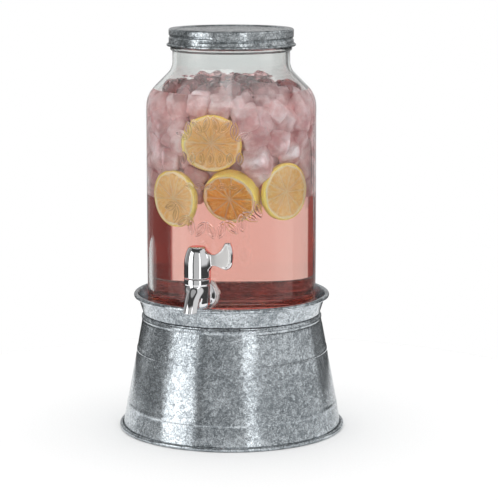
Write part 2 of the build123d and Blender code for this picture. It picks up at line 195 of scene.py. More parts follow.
# ---------- small helpers for materials ----------
class Nodes:
    """Builds the node tree of a material or of the world with short calls."""

    def __init__(self, owner):
        self.owner = owner
        owner.use_nodes = True
        self.tree = owner.node_tree
        self.tree.nodes.clear()
        self.coordinates = self.tree.nodes.new("ShaderNodeTexCoord").outputs
        self.place = self.coordinates["Object"]

    def feed(self, socket, value):
        """Links a socket into another, or sets it to a number or colour."""
        if isinstance(value, (int, float)):
            socket.default_value = value
        elif isinstance(value, tuple):
            socket.default_value = (*value, 1) if socket.type == "RGBA" else value
        else:
            self.tree.links.new(value, socket)

    def put(self, kind, values=(), links=(), **settings):
        """Adds a node, sets its properties and sockets, and links other sockets into it."""
        node = self.tree.nodes.new(kind)
        for key, value in settings.items():
            setattr(node, key, value)
        for key, value in dict(values).items():
            node.inputs[key].default_value = value
        for key, socket in dict(links).items():
            self.tree.links.new(socket, node.inputs[key])
        return node

    def noise(self, scale, detail=3.0, roughness=0.5, distortion=0.0, output="Fac"):
        """Fractal noise, in features per metre."""
        values = {"Scale": scale, "Detail": detail, "Roughness": roughness, "Distortion": distortion}
        return self.put("ShaderNodeTexNoise", values, {"Vector": self.place}).outputs[output]

    def cells(self, scale, place=None, feature="F1", output="Distance"):
        """Cells of the given number per metre."""
        links = {"Vector": place or self.place}
        node = self.put("ShaderNodeTexVoronoi", {"Scale": scale}, links, feature=feature)
        return node.outputs[output]

    def remap(self, socket, from_low, from_high, to_low=0.0, to_high=1.0, smooth=False):
        """Maps a value from one range to another, clamped."""
        values = {"From Min": from_low, "From Max": from_high, "To Min": to_low, "To Max": to_high}
        kind = "SMOOTHSTEP" if smooth else "LINEAR"
        node = self.put("ShaderNodeMapRange", values, {"Value": socket}, interpolation_type=kind)
        return node.outputs["Result"]

    def math(self, operation, first, second=None):
        """One operation on sockets or numbers."""
        node = self.tree.nodes.new("ShaderNodeMath")
        node.operation = operation
        for index, value in enumerate((first, second)):
            if value is not None:
                self.feed(node.inputs[index], value)
        return node.outputs[0]

    def plus(self, first, second):
        """The sum of two numbers."""
        return self.math("ADD", first, second)

    def times(self, first, second):
        """The product of two numbers."""
        return self.math("MULTIPLY", first, second)

    def vector_math(self, operation, first, second=None, scale=None):
        """One operation on vectors."""
        node = self.tree.nodes.new("ShaderNodeVectorMath")
        node.operation = operation
        for index, value in enumerate((first, second)):
            if value is not None:
                self.feed(node.inputs[index], value)
        if scale is not None:
            node.inputs["Scale"].default_value = scale
        return node.outputs[0]

    def wander(self, colour, amount):
        """A vector about zero from a colour, as wide as amount."""
        centred = self.vector_math("SUBTRACT", colour, (0.5, 0.5, 0.5))
        return self.vector_math("SCALE", centred, scale=amount)

    def ramp(self, socket, *stops):
        """Colour ramp from (position, colour) stops."""
        node = self.put("ShaderNodeValToRGB", links={"Fac": socket})
        elements = node.color_ramp.elements
        while len(elements) < len(stops):
            elements.new(0.5)
        for element, (position, colour) in zip(elements, stops):
            element.position = position
            element.color = (*colour, 1)
        return node.outputs["Color"]

    def mix(self, factor, first, second):
        """Mixes two colours."""
        node = self.tree.nodes.new("ShaderNodeMix")
        node.data_type = "RGBA"
        for key, value in ((0, factor), (6, first), (7, second)):
            self.feed(node.inputs[key], value)
        return node.outputs[2]

    def choose(self, factor, no, yes):
        """The value no where the factor is 0, and yes where it is 1."""
        node = self.tree.nodes.new("ShaderNodeMix")
        for key, value in ((0, factor), (2, no), (3, yes)):
            self.feed(node.inputs[key], value)
        return node.outputs[0]

    def attribute(self, name, output="Fac"):
        """A value that the mesh carries at its points."""
        return self.put("ShaderNodeAttribute", attribute_name=name).outputs[output]

    def bump(self, height, distance, strength=1.0, normal=None):
        """Normal from a height, whose full range is distance metres."""
        links = {"Height": height}
        if normal is not None:
            links["Normal"] = normal
        values = {"Distance": distance, "Strength": strength}
        return self.put("ShaderNodeBump", values, links).outputs["Normal"]

    def shader(self, values=(), links=()):
        """The Principled shader."""
        return self.put("ShaderNodeBsdfPrincipled", values, links).outputs[0]

    def mix_shaders(self, factor, first, second):
        """Mixes two shaders."""
        node = self.tree.nodes.new("ShaderNodeMixShader")
        for key, value in enumerate((factor, first, second)):
            self.feed(node.inputs[key], value)
        return node.outputs[0]

    def finish(self, surface, volume=None, kind="ShaderNodeOutputMaterial"):
        """Connects the output and returns the material or the world."""
        output = self.tree.nodes.new(kind)
        self.tree.links.new(surface, output.inputs["Surface"])
        if volume is not None:
            self.tree.links.new(volume, output.inputs["Volume"])
        return self.owner


def new_material(name):
    """The empty node tree of a new material."""
    return Nodes(bpy.data.materials.new(name))


def galvanised_metal(name, dark, light, crystal=300.0, roughness=(0.22, 0.13)):
    """Zinc-coated sheet: small warped crystals of differing tilt and tone, specks, pits and scratches."""
    m = new_material(name)
    warp = m.wander(m.noise(160, 3, 0.6, output="Color"), 0.008)
    place = m.vector_math("ADD", m.place, warp)
    large = m.cells(crystal, place, output="Color")
    small = m.cells(crystal * 2.6, place, output="Color")
    specks = m.noise(1300, 2, 0.6)
    cloud = m.noise(16, 4, 0.65)
    scribble = m.noise(330, 3, 0.75, distortion=2.0)
    large_tone = m.put("ShaderNodeSeparateColor", links={"Color": large}).outputs[0]
    small_tone = m.put("ShaderNodeSeparateColor", links={"Color": small}).outputs[1]
    ridge = m.math("ABSOLUTE", m.math("SUBTRACT", scribble, 0.5))
    patch = m.remap(cloud, 0.42, 0.60, 0.06, 0.50, True)
    scratch = m.times(m.remap(ridge, 0.0, 0.03, 1.0, 0.0), patch)
    spark = m.remap(m.cells(420), 0.10, 0.20, 0.35, 0.0)
    spark = m.times(spark, m.remap(cloud, 0.56, 0.42, smooth=True))
    tone = m.plus(m.times(large_tone, 0.22), m.times(small_tone, 0.26))
    tone = m.plus(tone, m.remap(specks, 0.35, 0.68, 0.0, 0.42))
    tone = m.plus(tone, m.remap(cloud, 0.35, 0.65, 0.07, -0.07))
    tone = m.plus(m.math("SUBTRACT", tone, scratch), spark)
    middle = tuple((a + b) / 2 for a, b in zip(dark, light))
    colour = m.ramp(tone, (0.16, dark), (0.47, middle), (0.78, light))
    tilt = m.vector_math("ADD", m.wander(large, 0.012), m.wander(small, 0.022))
    height = m.plus(specks, m.times(cloud, 0.5))
    height = m.math("SUBTRACT", height, scratch)
    bumped = m.bump(height, 0.0003, 0.10)
    normal = m.vector_math("NORMALIZE", m.vector_math("ADD", bumped, tilt))
    shader = m.shader(
        {"Metallic": 0.94},
        {"Base Color": colour, "Roughness": m.remap(tone, 0.0, 1.0, *roughness), "Normal": normal},
    )
    return m.finish(shader)


def chrome_plate(name, colour=(0.86, 0.86, 0.87)):
    """Bright plating with faint smears; where the mesh says satin, fine-blasted and grey."""
    m = new_material(name)
    satin = m.attribute("satin")
    smear = m.noise(60, 3, 0.6, distortion=0.6)
    ripple = m.noise(45, 2, 0.4)
    grain = m.noise(2600, 2, 0.6)
    bright = m.remap(smear, 0.4, 0.75, 0.05, 0.13)
    blasted = m.remap(smear, 0.3, 0.7, 0.34, 0.46)
    roughness = m.choose(satin, bright, blasted)
    tint = m.mix(m.remap(smear, 0.3, 0.7, 0.0, 0.25), colour, (0.74, 0.75, 0.77))
    grey = m.mix(m.remap(grain, 0.3, 0.7), (0.76, 0.75, 0.74), (0.60, 0.59, 0.58))
    normal = m.bump(ripple, 0.0006, 0.12)
    normal = m.bump(m.times(grain, satin), 0.0001, 0.5, normal)
    links = {"Base Color": m.mix(satin, tint, grey), "Roughness": roughness, "Normal": normal}
    shader = m.shader({"Metallic": 1.0}, links)
    return m.finish(shader)


def clear_glass(name):
    """Pressed glass with the slight unevenness of a moulded jar, and painted shade: darker along the edges of
    its relief.
    """
    m = new_material(name)
    wave = m.noise(24, 2, 0.4)
    # painted shade: a dark brownish tint on the sloping sides of the relief stands in for the dark outlines
    # that bent light gives there
    edge = m.attribute("edge")
    colour = m.mix(m.times(edge, 0.7), (0.90, 0.925, 0.915), (0.36, 0.29, 0.27))
    normal = m.bump(wave, 0.0012, 0.14)
    values = {"Roughness": 0.0, "IOR": 1.5, "Transmission Weight": 1.0}
    return m.finish(m.shader(values, {"Base Color": colour, "Normal": normal}))


def pink_drink(name):
    """Clear pink lemonade: the colour is all in what it absorbs."""
    m = new_material(name)
    values = {"Base Color": (1, 1, 1, 1), "Roughness": 0.0, "IOR": 1.333, "Transmission Weight": 1.0}
    absorb = m.put("ShaderNodeVolumeAbsorption", {"Color": (0.985, 0.42, 0.30, 1), "Density": 7.6})
    return m.finish(m.shader(values), absorb.outputs[0])


def cloudy_ice(name, cloudiness, tint, bend):
    """Ice: clear, rippled skin over cloudy cores with veins and bubbles, cloudiness from low to high."""
    m = new_material(name)
    cloud = m.noise(55, 4, 0.55)
    crack = m.cells(85, feature="DISTANCE_TO_EDGE")
    bubbles = m.cells(600)
    haze = m.remap(cloud, 0.36, 0.62, *cloudiness)
    ripple = m.noise(90, 2, 0.5)
    normal = m.bump(m.plus(ripple, crack), 0.003, 0.4)
    values = {"Base Color": tint, "Roughness": 0.02, "IOR": bend, "Transmission Weight": 1.0}
    clear = m.shader(values, {"Normal": normal})
    vein = m.remap(crack, 0.0, 0.10, 0.25, 0.0)
    white = m.plus(m.remap(cloud, 0.35, 0.65, 0.0, 0.9), vein)
    white = m.plus(white, m.remap(bubbles, 0.1, 0.3, 0.2, 0.0))
    colour = m.ramp(white, (0.0, (0.98, 0.66, 0.67)), (0.5, (0.99, 0.83, 0.85)), (1.0, (1.0, 0.95, 0.98)))
    links = {"Color": colour, "Normal": normal}
    through = m.put("ShaderNodeBsdfTranslucent", links=links).outputs[0]
    matt = m.put("ShaderNodeBsdfDiffuse", links=links).outputs[0]
    return m.finish(m.mix_shaders(haze, clear, m.mix_shaders(0.45, through, matt)))


def fruit(m, colour, normal, translucent):
    """Soft fruit: light sinks in and passes through."""
    solid = m.shader(
        {"Subsurface Weight": 0.2, "Subsurface Radius": (0.004, 0.003, 0.001), "IOR": 1.38, "Roughness": 0.3},
        {"Base Color": colour, "Normal": normal},
    )
    glow = m.put("ShaderNodeBsdfTranslucent", links={"Color": colour, "Normal": normal}).outputs[0]
    return m.finish(m.mix_shaders(translucent, solid, glow))


def lemon_peel(name, base, pale):
    """Peel with its pores."""
    m = new_material(name)
    mottle = m.noise(150, 3, 0.6)
    pores = m.cells(500)
    tone = m.plus(m.times(mottle, 0.7), pores)
    colour = m.mix(m.remap(tone, 0.3, 0.95), base, pale)
    return fruit(m, colour, m.bump(pores, 0.0006, 0.8), 0.15)


def lemon_flesh(name, pale, deep):
    """A cut face: juice sacs that run outward, membranes between the segments and a ring of pith."""
    m = new_material(name)
    grain = m.attribute("grain", "Vector")
    pulp = m.attribute("pulp")
    sacs = m.cells(1.0, grain)
    mottle = m.noise(130, 3, 0.6)
    tone = m.plus(m.times(mottle, 0.9), sacs)
    juicy = m.mix(m.remap(tone, 0.4, 1.2), pale, deep)
    pith = m.mix(m.remap(mottle, 0.35, 0.65), (1.0, 0.93, 0.70), (0.98, 0.86, 0.54))
    colour = m.mix(pulp, pith, juicy)
    normal = m.bump(m.times(sacs, pulp), 0.0015, 0.8)
    return fruit(m, colour, normal, 0.4)


def clear_rubber(name):
    """Milky silicone of the tap's washers."""
    m = new_material(name)
    dust = m.noise(300, 3, 0.6)
    normal = m.bump(dust, 0.0003, 0.3)
    shader = m.shader(
        {"Base Color": (0.93, 0.90, 0.89, 1), "IOR": 1.41, "Transmission Weight": 0.8},
        {"Normal": normal, "Roughness": m.remap(dust, 0.3, 0.7, 0.2, 0.4)},
    )
    return m.finish(shader)


def plain_polymer(name, base, roughness=0.35):
    """Moulded plastic or rubber with faint mottling and a fine grain."""
    m = new_material(name)
    grain = m.noise(900, 3, 0.6)
    patch = m.noise(60, 3, 0.5)
    shade = tuple(c * 0.82 for c in base)
    colour = m.mix(m.remap(patch, 0.3, 0.7), base, shade)
    normal = m.bump(grain, 0.0002, 0.4)
    rough = m.remap(patch, 0.3, 0.7, roughness * 0.8, roughness * 1.2)
    shader = m.shader({}, {"Base Color": colour, "Roughness": rough, "Normal": normal})
    return m.finish(shader)


def floor_paper(name):
    """White studio paper."""
    m = new_material(name)
    grain = m.noise(500, 3, 0.6)
    colour = m.mix(m.remap(grain, 0.3, 0.7), (0.53, 0.53, 0.53), (0.50, 0.50, 0.50))
    shader = m.shader({"Roughness": 0.8}, {"Base Color": colour})
    return m.finish(shader)


zinc = galvanised_metal("galvanised_sheet", (0.13, 0.15, 0.165), (0.84, 0.90, 0.94))
zinc_lid = galvanised_metal("galvanised_lid", (0.14, 0.16, 0.17), (0.84, 0.89, 0.92), 260.0)
wire_steel = galvanised_metal("drawn_wire", (0.25, 0.25, 0.26), (0.6, 0.6, 0.62), 500.0)
chrome = chrome_plate("chrome_plate")
glass = clear_glass("jar_glass")
pink = pink_drink("pink_lemonade")
ice = cloudy_ice("cloudy_ice", (0.6, 0.97), (1, 0.96, 0.96, 1), 1.25)
clear_ice = cloudy_ice("clear_ice", (0.0, 0.15), (1, 0.84, 0.83, 1), 1.31)
rind = lemon_peel("lemon_rind", (0.86, 0.62, 0.08), (0.90, 0.76, 0.22))
flesh = lemon_flesh("lemon_flesh", (1.0, 0.82, 0.46), (0.95, 0.64, 0.24))
ripe_flesh = lemon_flesh("ripe_flesh", (1.0, 0.66, 0.22), (0.94, 0.44, 0.06))
silicone = clear_rubber("silicone_washer")
gasket_rubber = plain_polymer("gasket_rubber", (0.85, 0.84, 0.80))
seal_rubber = plain_polymer("seal_rubber", (0.03, 0.03, 0.03))
plug_plastic = plain_polymer("plug_plastic", (0.80, 0.80, 0.79), 0.25)
nut_plastic = plain_polymer("nut_plastic", (0.88, 0.88, 0.87), 0.3)


# ---------- stand ----------
WALL_LEAN = math.tan(math.radians(10.5))
FOOT_CURL = (wall_high.x - 2.4 * MM, 2.25 * MM)
CURL_TUBE = 1.9 * MM
SHEET = 1.0 * MM
RIBS = (27.0 * MM, 86.5 * MM)
RIB_HEIGHT = 0.34 * MM
RIB_REACH = 2.6 * MM
# lap of the cone's sheet, in degrees round from the front
SEAM_ANGLE = 198.0


def wall_radius(z):
    """Middle of the cone's sheet, with its rolled ribs."""
    radius = FOOT_CURL[0] - CURL_TUBE - (z - FOOT_CURL[1]) * WALL_LEAN
    for rib in RIBS:
        across = np.clip(np.abs(z - rib) / RIB_REACH, 0, 1)
        radius = radius + RIB_HEIGHT * (1 - across**2) ** 0.8
    return radius


def sheet_waves(turn, height, radius):
    """The slight unevenness of hand-rolled sheet, and the lap of the cone's seam."""
    wave = 0.22 * np.sin(3 * turn + 1.3 + 9 * height) + 0.14 * np.sin(7 * turn + 2.1 - 14 * height)
    wave = wave + 0.10 * np.sin(13 * turn + 40 * height)
    from_seam = angle_about(turn, SEAM_ANGLE) * radius / MM
    lap = 0.7 * between(from_seam, -0.5, 0.3, 5.5, 6.6)
    return (wave + lap) * MM * between(height, 5 * MM, 14 * MM, 112 * MM, 118 * MM)


def make_stand():
    """Cone, collar and their rolled edges."""
    z = np.concatenate(
        [np.linspace(118, 90, 12), np.linspace(89.5, 83.5, 13), np.linspace(82, 31, 18)]
        + [np.linspace(30, 24, 13), np.linspace(22, 3, 9)]
    )
    cone = np.c_[wall_radius(z * MM), z * MM]
    lip_radius = 94.8 * MM
    lip = line((lip_radius, stand_top), (lip_radius, stand_top - 1.0 * MM), 2)
    bead = np.array([[95.4, 122.3], [96.0, 121.3], [96.1, 120.2], [95.9, 119.0]]) * MM
    curl = arc(FOOT_CURL, CURL_TUBE, 190, 285, 22)
    path = join(lip, bead, cone, curl)
    seam = math.radians(SEAM_ANGLE) + np.linspace(-1.0, 7.5, 26) / 110
    angles = np.sort(np.r_[turn_steps(240), seam])
    wall = sheet_outline(path, SHEET)
    lathe("cone_wall", wall, angles, "stand", zinc, "galvanised", "stand_wall", sheet_waves)

    rim = (collar_high.x - 2.4 * MM, collar_high.z - 2.4 * MM)
    lean = math.radians(18)
    start = (rim[0] - CURL_TUBE * math.cos(lean), rim[1] + CURL_TUBE * math.sin(lean))
    base_z = stand_top + SHEET / 2
    base = (start[0] - (start[1] - base_z) * math.tan(lean), base_z)
    inner = (91.3 * MM, base_z)
    path = join(
        line(inner, (base[0] - 3 * MM, base_z), 3),
        corner(base, inner, start, 1.5 * MM, 6),
        line(base, start, 14)[2:],
        arc(rim, CURL_TUBE, 162, -285, 22),
    )

    def collar_waves(turn, height, radius):
        return 0.25 * MM * np.sin(2 * turn + 0.4) * smooth_step(height, 128 * MM, 144 * MM)

    outline = sheet_outline(path, SHEET)
    lathe("collar", outline, turn_steps(240), "stand", zinc, "galvanised", "stand_collar", collar_waves)


# ---------- lid ----------
LID_SKIN = 0.8 * MM
LID_BAND = lid_high.x - 2.0 * MM - LID_SKIN / 2
THREAD_FROM, THREAD_TO = -109.0, 275.0
THREAD_FADE = 14.0
THREAD_LOW, THREAD_HIGH = 416.2 * MM, 420.5 * MM
GROOVE_DEPTH = 1.35


def thread_depth(turn, height):
    """0 to 1: how deep the rolled thread is pressed at a place on the lid's band."""
    depth = 0
    for lap in (-360, 0, 360):
        # the thread's angles are counted from +X, the lathe's from -Y
        along = np.degrees(turn) - 90 + lap
        share = (along - THREAD_FROM) / (THREAD_TO - THREAD_FROM)
        middle = THREAD_LOW + share * (THREAD_HIGH - THREAD_LOW)
        ends = between(along, THREAD_FROM, THREAD_FROM + THREAD_FADE, THREAD_TO - THREAD_FADE, THREAD_TO)
        depth = depth + np.exp(-(((height - middle) / (0.85 * MM)) ** 2)) * ends
    return depth


def make_lid():
    """Screw lid: dished panel, rounded shoulder, rolled thread and a curled edge."""
    top = lid_high.z - LID_SKIN / 2
    panel = top - 1.0 * MM
    band = LID_BAND
    curl = (band + 1.1 * MM, lid_low.z + 1.5 * MM)
    path = join(
        line((0, panel + 0.25 * MM), (40 * MM, panel + 0.1 * MM), 10),
        line((42 * MM, panel + 0.05 * MM), (56 * MM, panel), 6),
        corner((57 * MM, panel), (50 * MM, panel), (57.6 * MM, top), 0.5 * MM, 4),
        corner((57.6 * MM, top), (57 * MM, panel), (65 * MM, top), 0.5 * MM, 4),
        corner((band, top), (60 * MM, top), (band, panel - 9 * MM), 1.9 * MM, 8),
        line((band, top - 2.2 * MM), (band, curl[1] + 0.3 * MM), 34),
        arc(curl, curl[0] - band, 180, 270, 12),
    )

    def pressed(turn, height, radius):
        skirt = smooth_step(radius, band - 1 * MM, band - 0.8 * MM) * (height < top - 2 * MM)
        skirt = skirt * (height > curl[1] + 1 * MM)
        dents = 0.12 * np.sin(2 * turn + 1) + 0.06 * np.sin(5 * turn)
        return (dents - GROOVE_DEPTH * thread_depth(turn, height)) * MM * skirt

    outline = sheet_outline(path, LID_SKIN)
    lathe("screw_lid", outline, turn_steps(300), "lid", zinc_lid, "galvanised", "lid_shell", pressed)


# ---------- jar ----------
JAR_WALL = 4 * MM
NECK = 62 * MM
SHOULDER = (jar_radius, 357.7 * MM)
NECK_CORNER = (NECK, 386 * MM)
TURN = math.atan2(jar_radius - NECK, NECK_CORNER[1] - SHOULDER[1])
INNER_DROP = JAR_WALL * math.tan(TURN / 2)
# middle of the ornament, in degrees round from the front, and its height in mm
ORNAMENT_ANGLE = 5.0
ORNAMENT_HEIGHT = 1.8
MOULD_SEAMS = (95.0, 275.0)


def leaf(across, up, centre, pointing, length, width, stroke=1.0):
    """Height of one outlined leaf with a middle vein, sizes in mm."""
    angle = math.radians(pointing)
    x = (across - centre[0]) * math.cos(angle) + (up - centre[1]) * math.sin(angle)
    y = -(across - centre[0]) * math.sin(angle) + (up - centre[1]) * math.cos(angle)
    a, b = length / 2, width / 2
    radius = (a * a + b * b) / (2 * b)
    edge = np.sqrt(x * x + (np.abs(y) + radius - b) ** 2) - radius
    outline = np.exp(-((edge / stroke) ** 4))
    vein = np.exp(-((y / (stroke * 0.8)) ** 4)) * (np.abs(x) < a * 0.6)
    return np.maximum(outline, 0.8 * vein)


# arcs of leaves: height of the middle, radius, first and last angle, how many, length
GARLANDS = (
    (284.0, 51.0, 50.0, 130.0, 8, 14.0),
    (292.0, 66.0, 222.0, 318.0, 11, 16.0),
)


def ornament(turn, height):
    """Raised garlands of leaves above and below a row of lozenges, moulded into the front of the glass."""
    across = angle_about(turn, ORNAMENT_ANGLE) * jar_radius / MM
    across, up = np.broadcast_arrays(across, height / MM)
    raised = np.zeros_like(across)
    for middle, radius, start, stop, count, size in GARLANDS:
        for n, where in enumerate(np.linspace(start, stop, count)):
            angle = math.radians(where)
            centre = (radius * math.cos(angle), middle + radius * math.sin(angle))
            lean = where + (24 if n % 2 else -24)
            raised = np.maximum(raised, leaf(across, up, centre, lean, size, size * 0.42))
    for n in range(-3, 4):
        raised = np.maximum(raised, leaf(across, up, (n * 10.0, 300.0), 90, 10, 5))
    for n in range(-2, 3):
        raised = np.maximum(raised, leaf(across, up, (n * 12.0, 271.0), 0, 9, 4.5))
    return raised


def glass_relief(turn, height, radius):
    """Ornament, mould seams and the slow waviness of the outside of the jar."""
    outside = (radius > jar_radius - 1 * MM) & (height > 200 * MM) & (height < 348 * MM)
    relief = np.where(outside, ornament(turn, height), 0.0) * ORNAMENT_HEIGHT
    for seam in MOULD_SEAMS:
        on_seam = np.exp(-((angle_about(turn, seam) * radius / (0.5 * MM)) ** 2))
        relief = relief + 0.18 * on_seam * (radius > NECK - 0.5 * MM)
    wave = 0.12 * np.sin(4 * turn + 30 * height) + 0.10 * np.sin(9 * turn - 22 * height + 1)
    wave = wave * between(height, 140 * MM, 160 * MM, 385 * MM, 395 * MM)
    return (relief + wave) * MM


def inner_profile(gap=0.0):
    """Inside of the jar from the middle of its floor up to the neck, gap mm into the glass."""
    grow = gap * MM
    side = jar_radius - JAR_WALL + grow
    neck = NECK - JAR_WALL + grow
    floor_z = stand_top + JAR_FLOOR - grow
    low = (side, SHOULDER[1] - INNER_DROP)
    high = (neck, NECK_CORNER[1] - INNER_DROP)
    return join(
        line((0, floor_z + 1 * MM), (70 * MM, floor_z + 0.1 * MM), 14),
        corner((side, floor_z), (0, floor_z), low, 8 * MM, 10),
        line((side, floor_z + 12 * MM), (side, low[1] - 14 * MM), 40),
        corner(low, (side, floor_z), high, 27 * MM, 14),
        corner(high, low, (neck, jar_high.z), 21 * MM, 14),
    )


def make_jar():
    """The glass: one closed surface with its foot, bead, thread and moulded ornament."""
    top = jar_high.z
    foot = (jar_radius, stand_top)
    bead = (61.9 * MM, 406.8 * MM)
    thread = np.array([[62, 414.5], [63.4, 416.2], [63.6, 417.4], [62, 419]]) * MM
    outside = join(
        line((0, stand_top + 3 * MM), (58 * MM, stand_top + 0.2 * MM), 12),
        line((60 * MM, stand_top), (80 * MM, stand_top), 4),
        corner(foot, (0, stand_top), SHOULDER, 8 * MM, 10),
        line((jar_radius, stand_top + 10 * MM), (jar_radius, 216 * MM), 26),
        line((jar_radius, 217 * MM), (jar_radius, 343 * MM), 280),
        corner(SHOULDER, foot, NECK_CORNER, 31 * MM, 16),
        corner(NECK_CORNER, SHOULDER, (NECK, top), 17 * MM, 12),
        line((NECK, 394 * MM), (NECK, 403.9 * MM), 4),
        arc(bead, 2.4 * MM, -88, 176, 12),
        line((NECK, 411 * MM), (NECK, 413.5 * MM), 2),
        thread,
        line((NECK, 420.5 * MM), (NECK, top - 2 * MM), 3),
        corner((NECK, top), (NECK, 400 * MM), (0, top), 1.8 * MM, 5),
        corner((NECK - JAR_WALL, top), (NECK, top), (NECK - JAR_WALL, 0), 1.8 * MM, 5),
    )
    outline = join(outside, inner_profile()[::-1])
    front = np.radians(np.linspace(-34, 44, 280))
    rest = np.radians(np.linspace(44, 326, 128))[1:-1]
    angles = np.r_[front, rest]
    jar = lathe("jar_glass_body", outline, angles, "jar", glass, "glass", "jar", glass_relief, False)
    x, y, z = point_places(jar).T
    raised = ornament(np.arctan2(x, -y), z) * (np.hypot(x, y) > jar_radius - 0.5 * MM)
    # where the glass carries its painted shade, strongest half way up the side of a leaf
    point_values(jar, "edge", 4 * raised * (1 - raised))


# ---------- contents ----------
DRINK_LEVEL = drink_high.z


def make_drink():
    """The liquid, with a gently rippled top that climbs a little where it meets the glass."""
    side = inner_profile(0.12)
    side = side[side[:, 1] < DRINK_LEVEL + 1.6 * MM]
    edge = side[-1][0]
    radii = np.r_[edge * np.linspace(0.985, 0.05, 46), 0.0]
    top = np.c_[radii, np.full(len(radii), DRINK_LEVEL)]
    outline = join(side, top)
    angles = turn_steps(180)
    points = lathe_points(outline, angles)
    surface = np.tile(np.arange(len(outline)) >= len(side), len(angles))
    x, y = points[:, 0], points[:, 1]
    reach = np.hypot(x, y)
    ripple = 0.7 * np.sin(140 * x + 60 * y) * np.sin(110 * y - 30 * x + 1) + 0.4 * np.sin(260 * y + 190 * x)
    calm = smooth_step(edge - reach, 0, 6 * MM)
    climb = 1.5 * np.exp(-(edge - reach) / (1.6 * MM))
    points[:, 2] += np.where(surface, (ripple * calm + climb) * MM, 0)
    faces = grid_faces(len(angles), len(outline), True, False)
    new_mesh("lemonade", points, faces, "jar", pink, "drink", "drink")


# the lemon slices' turn round from the front, distance from the axis and height of the middle,
# the way they face (round from the front, and up), radius and thickness, in mm and degrees
SLICES = (
    (2.0, 68.0, 314.0, 18.0, 0.0, 29.0, 7.0),
    (-29.0, 74.0, 255.0, -29.0, 0.0, 29.0, 7.0),
    (19.0, 62.0, 259.0, 0.0, -20.0, 27.0, 15.0),
    (63.0, 74.0, 262.0, 63.0, 0.0, 29.0, 7.0),
)
# fineness of the slices' mesh
SLICE_RINGS, SLICE_SPOKES = 44, 216


def facing(turn, pitch=0.0):
    """Unit vector outward at an angle about Z from -Y, raised by pitch, in degrees."""
    flat = math.cos(math.radians(pitch))
    angle = math.radians(turn)
    return Vector((flat * math.sin(angle), -flat * math.cos(angle), math.sin(math.radians(pitch))))


def slice_frame(turn, distance, height, faced, pitch):
    """Matrix that stands a flat slice, modelled in XY, upright in the drink."""
    normal = facing(faced, pitch)
    right = Vector((0, 0, 1)).cross(normal).normalized()
    up = normal.cross(right)
    centre = facing(turn) * distance * MM + Vector((0, 0, height * MM))
    return Matrix.Translation(centre) @ Matrix((right, up, normal)).transposed().to_4x4()


def slice_side(radius, segments, draw):
    """Polar grid of one cut face: radii, angles, relief in mm and how juicy it is, from 0 to 1."""
    radii = radius * np.linspace(0, 1, SLICE_RINGS + 1)[1:]
    r, t = np.meshgrid(radii, turn_steps(SLICE_SPOKES), indexing="ij")
    edges = np.cumsum(draw.uniform(0.75, 1.25, segments))
    edges = edges / edges[-1] * 2 * math.pi
    gap = np.full_like(r, 1e9)
    for edge in edges:
        away = np.abs((t - edge + math.pi) % (2 * math.pi) - math.pi)
        gap = np.minimum(gap, r * np.sin(np.minimum(away, math.pi / 2)))
    ring = radius - 3.6 + 0.5 * np.sin(segments * t) - r
    inside = -1.1 * np.log(np.exp(-np.stack([gap - 0.3, ring, r - 1.8]) / 1.1).sum(0))
    relief = 0.55 * smooth_step(inside, 0, 1.6) - 0.35 * np.exp(-((inside / 0.5) ** 2))
    relief = relief - 0.6 * smooth_step(r, radius - 1.0, radius)
    wall = np.minimum(smooth_step(gap, 0.0, 1.0), smooth_step(r, 0.8, 2.4))
    pulp = smooth_step(ring, -0.6, 0.5) * (0.4 + 0.6 * wall)
    return r, t, relief, pulp


def lemon_slice(number, place, radius, thickness, segments, seed):
    """One slice: peel round the edge, and pith, membranes and plump segments on both cut faces."""
    draw = np.random.default_rng(seed)
    r, t, relief, pulp = slice_side(radius, segments, draw)
    columns = r.shape[1]
    warp = 1 + 0.018 * np.sin(2 * t + seed) + 0.012 * np.sin(3 * t + 2.0 * seed)
    x, y = r * warp * np.cos(t), r * warp * np.sin(t)
    front = np.stack([x, y, thickness / 2 + relief], -1)
    back = np.stack([x, y, -thickness / 2 - relief], -1)
    bulge = [1.012, 1.018, 1.018, 1.012]
    rim = [
        np.stack([x[-1] * b, y[-1] * b, np.full(columns, z)], -1)
        for b, z in zip(bulge, np.linspace(0.36, -0.36, 4) * thickness)
    ]
    strip = np.concatenate([front, np.array(rim), back[::-1]])
    points = np.concatenate([strip.reshape(-1, 3), [[0, 0, thickness / 2], [0, 0, -thickness / 2]]])
    juice = np.concatenate([pulp, np.zeros((len(rim), columns)), pulp[::-1]]).ravel()
    juice = np.concatenate([juice, [0.4, 0.4]])
    total = len(strip)
    faces = grid_faces(total, columns, False, True)
    low, high = total * columns, total * columns + 1
    last = (total - 1) * columns
    for c in range(columns):
        after = (c + 1) % columns
        faces.append([low, after, c])
        faces.append([high, last + c, last + after])
    placed = [slice_frame(*place) @ Vector(p * MM) for p in points]
    piece = new_mesh(f"lemon_{number}", placed, faces, "jar", rind, "lemon", f"lemon_slice_{number}")
    piece.data.materials.append(ripe_flesh if number == 3 else flesh)
    mesh = piece.data
    assert len(mesh.vertices) == len(points)
    reach = np.hypot(points[:, 0], points[:, 1])
    around = np.arctan2(points[:, 1], points[:, 0])
    cells = np.c_[reach / 4.5, around * 11, np.sign(points[:, 2]) * 3]
    point_values(piece, "grain", cells)
    point_values(piece, "pulp", juice)
    for face in mesh.polygons:
        middle = points[list(face.vertices)].mean(0)
        cut = math.hypot(middle[0], middle[1]) < radius - 1.3 and abs(middle[2]) > thickness / 2 - 1.2
        face.material_index = 1 if cut else 0


def hides_slice(point, radius):
    """True if a ball of that radius, in mm, would touch a lemon slice or stand in front of it."""
    for turn, distance, height, faced, pitch, size, thickness in SLICES:
        local = slice_frame(turn, distance, height, faced, pitch).inverted() @ Vector(point * MM)
        flat = math.hypot(local.x, local.y) / MM
        if local.z / MM > -thickness / 2 - radius and flat < size + radius * 0.8:
            return True
    return False


ICE_SEED = 11


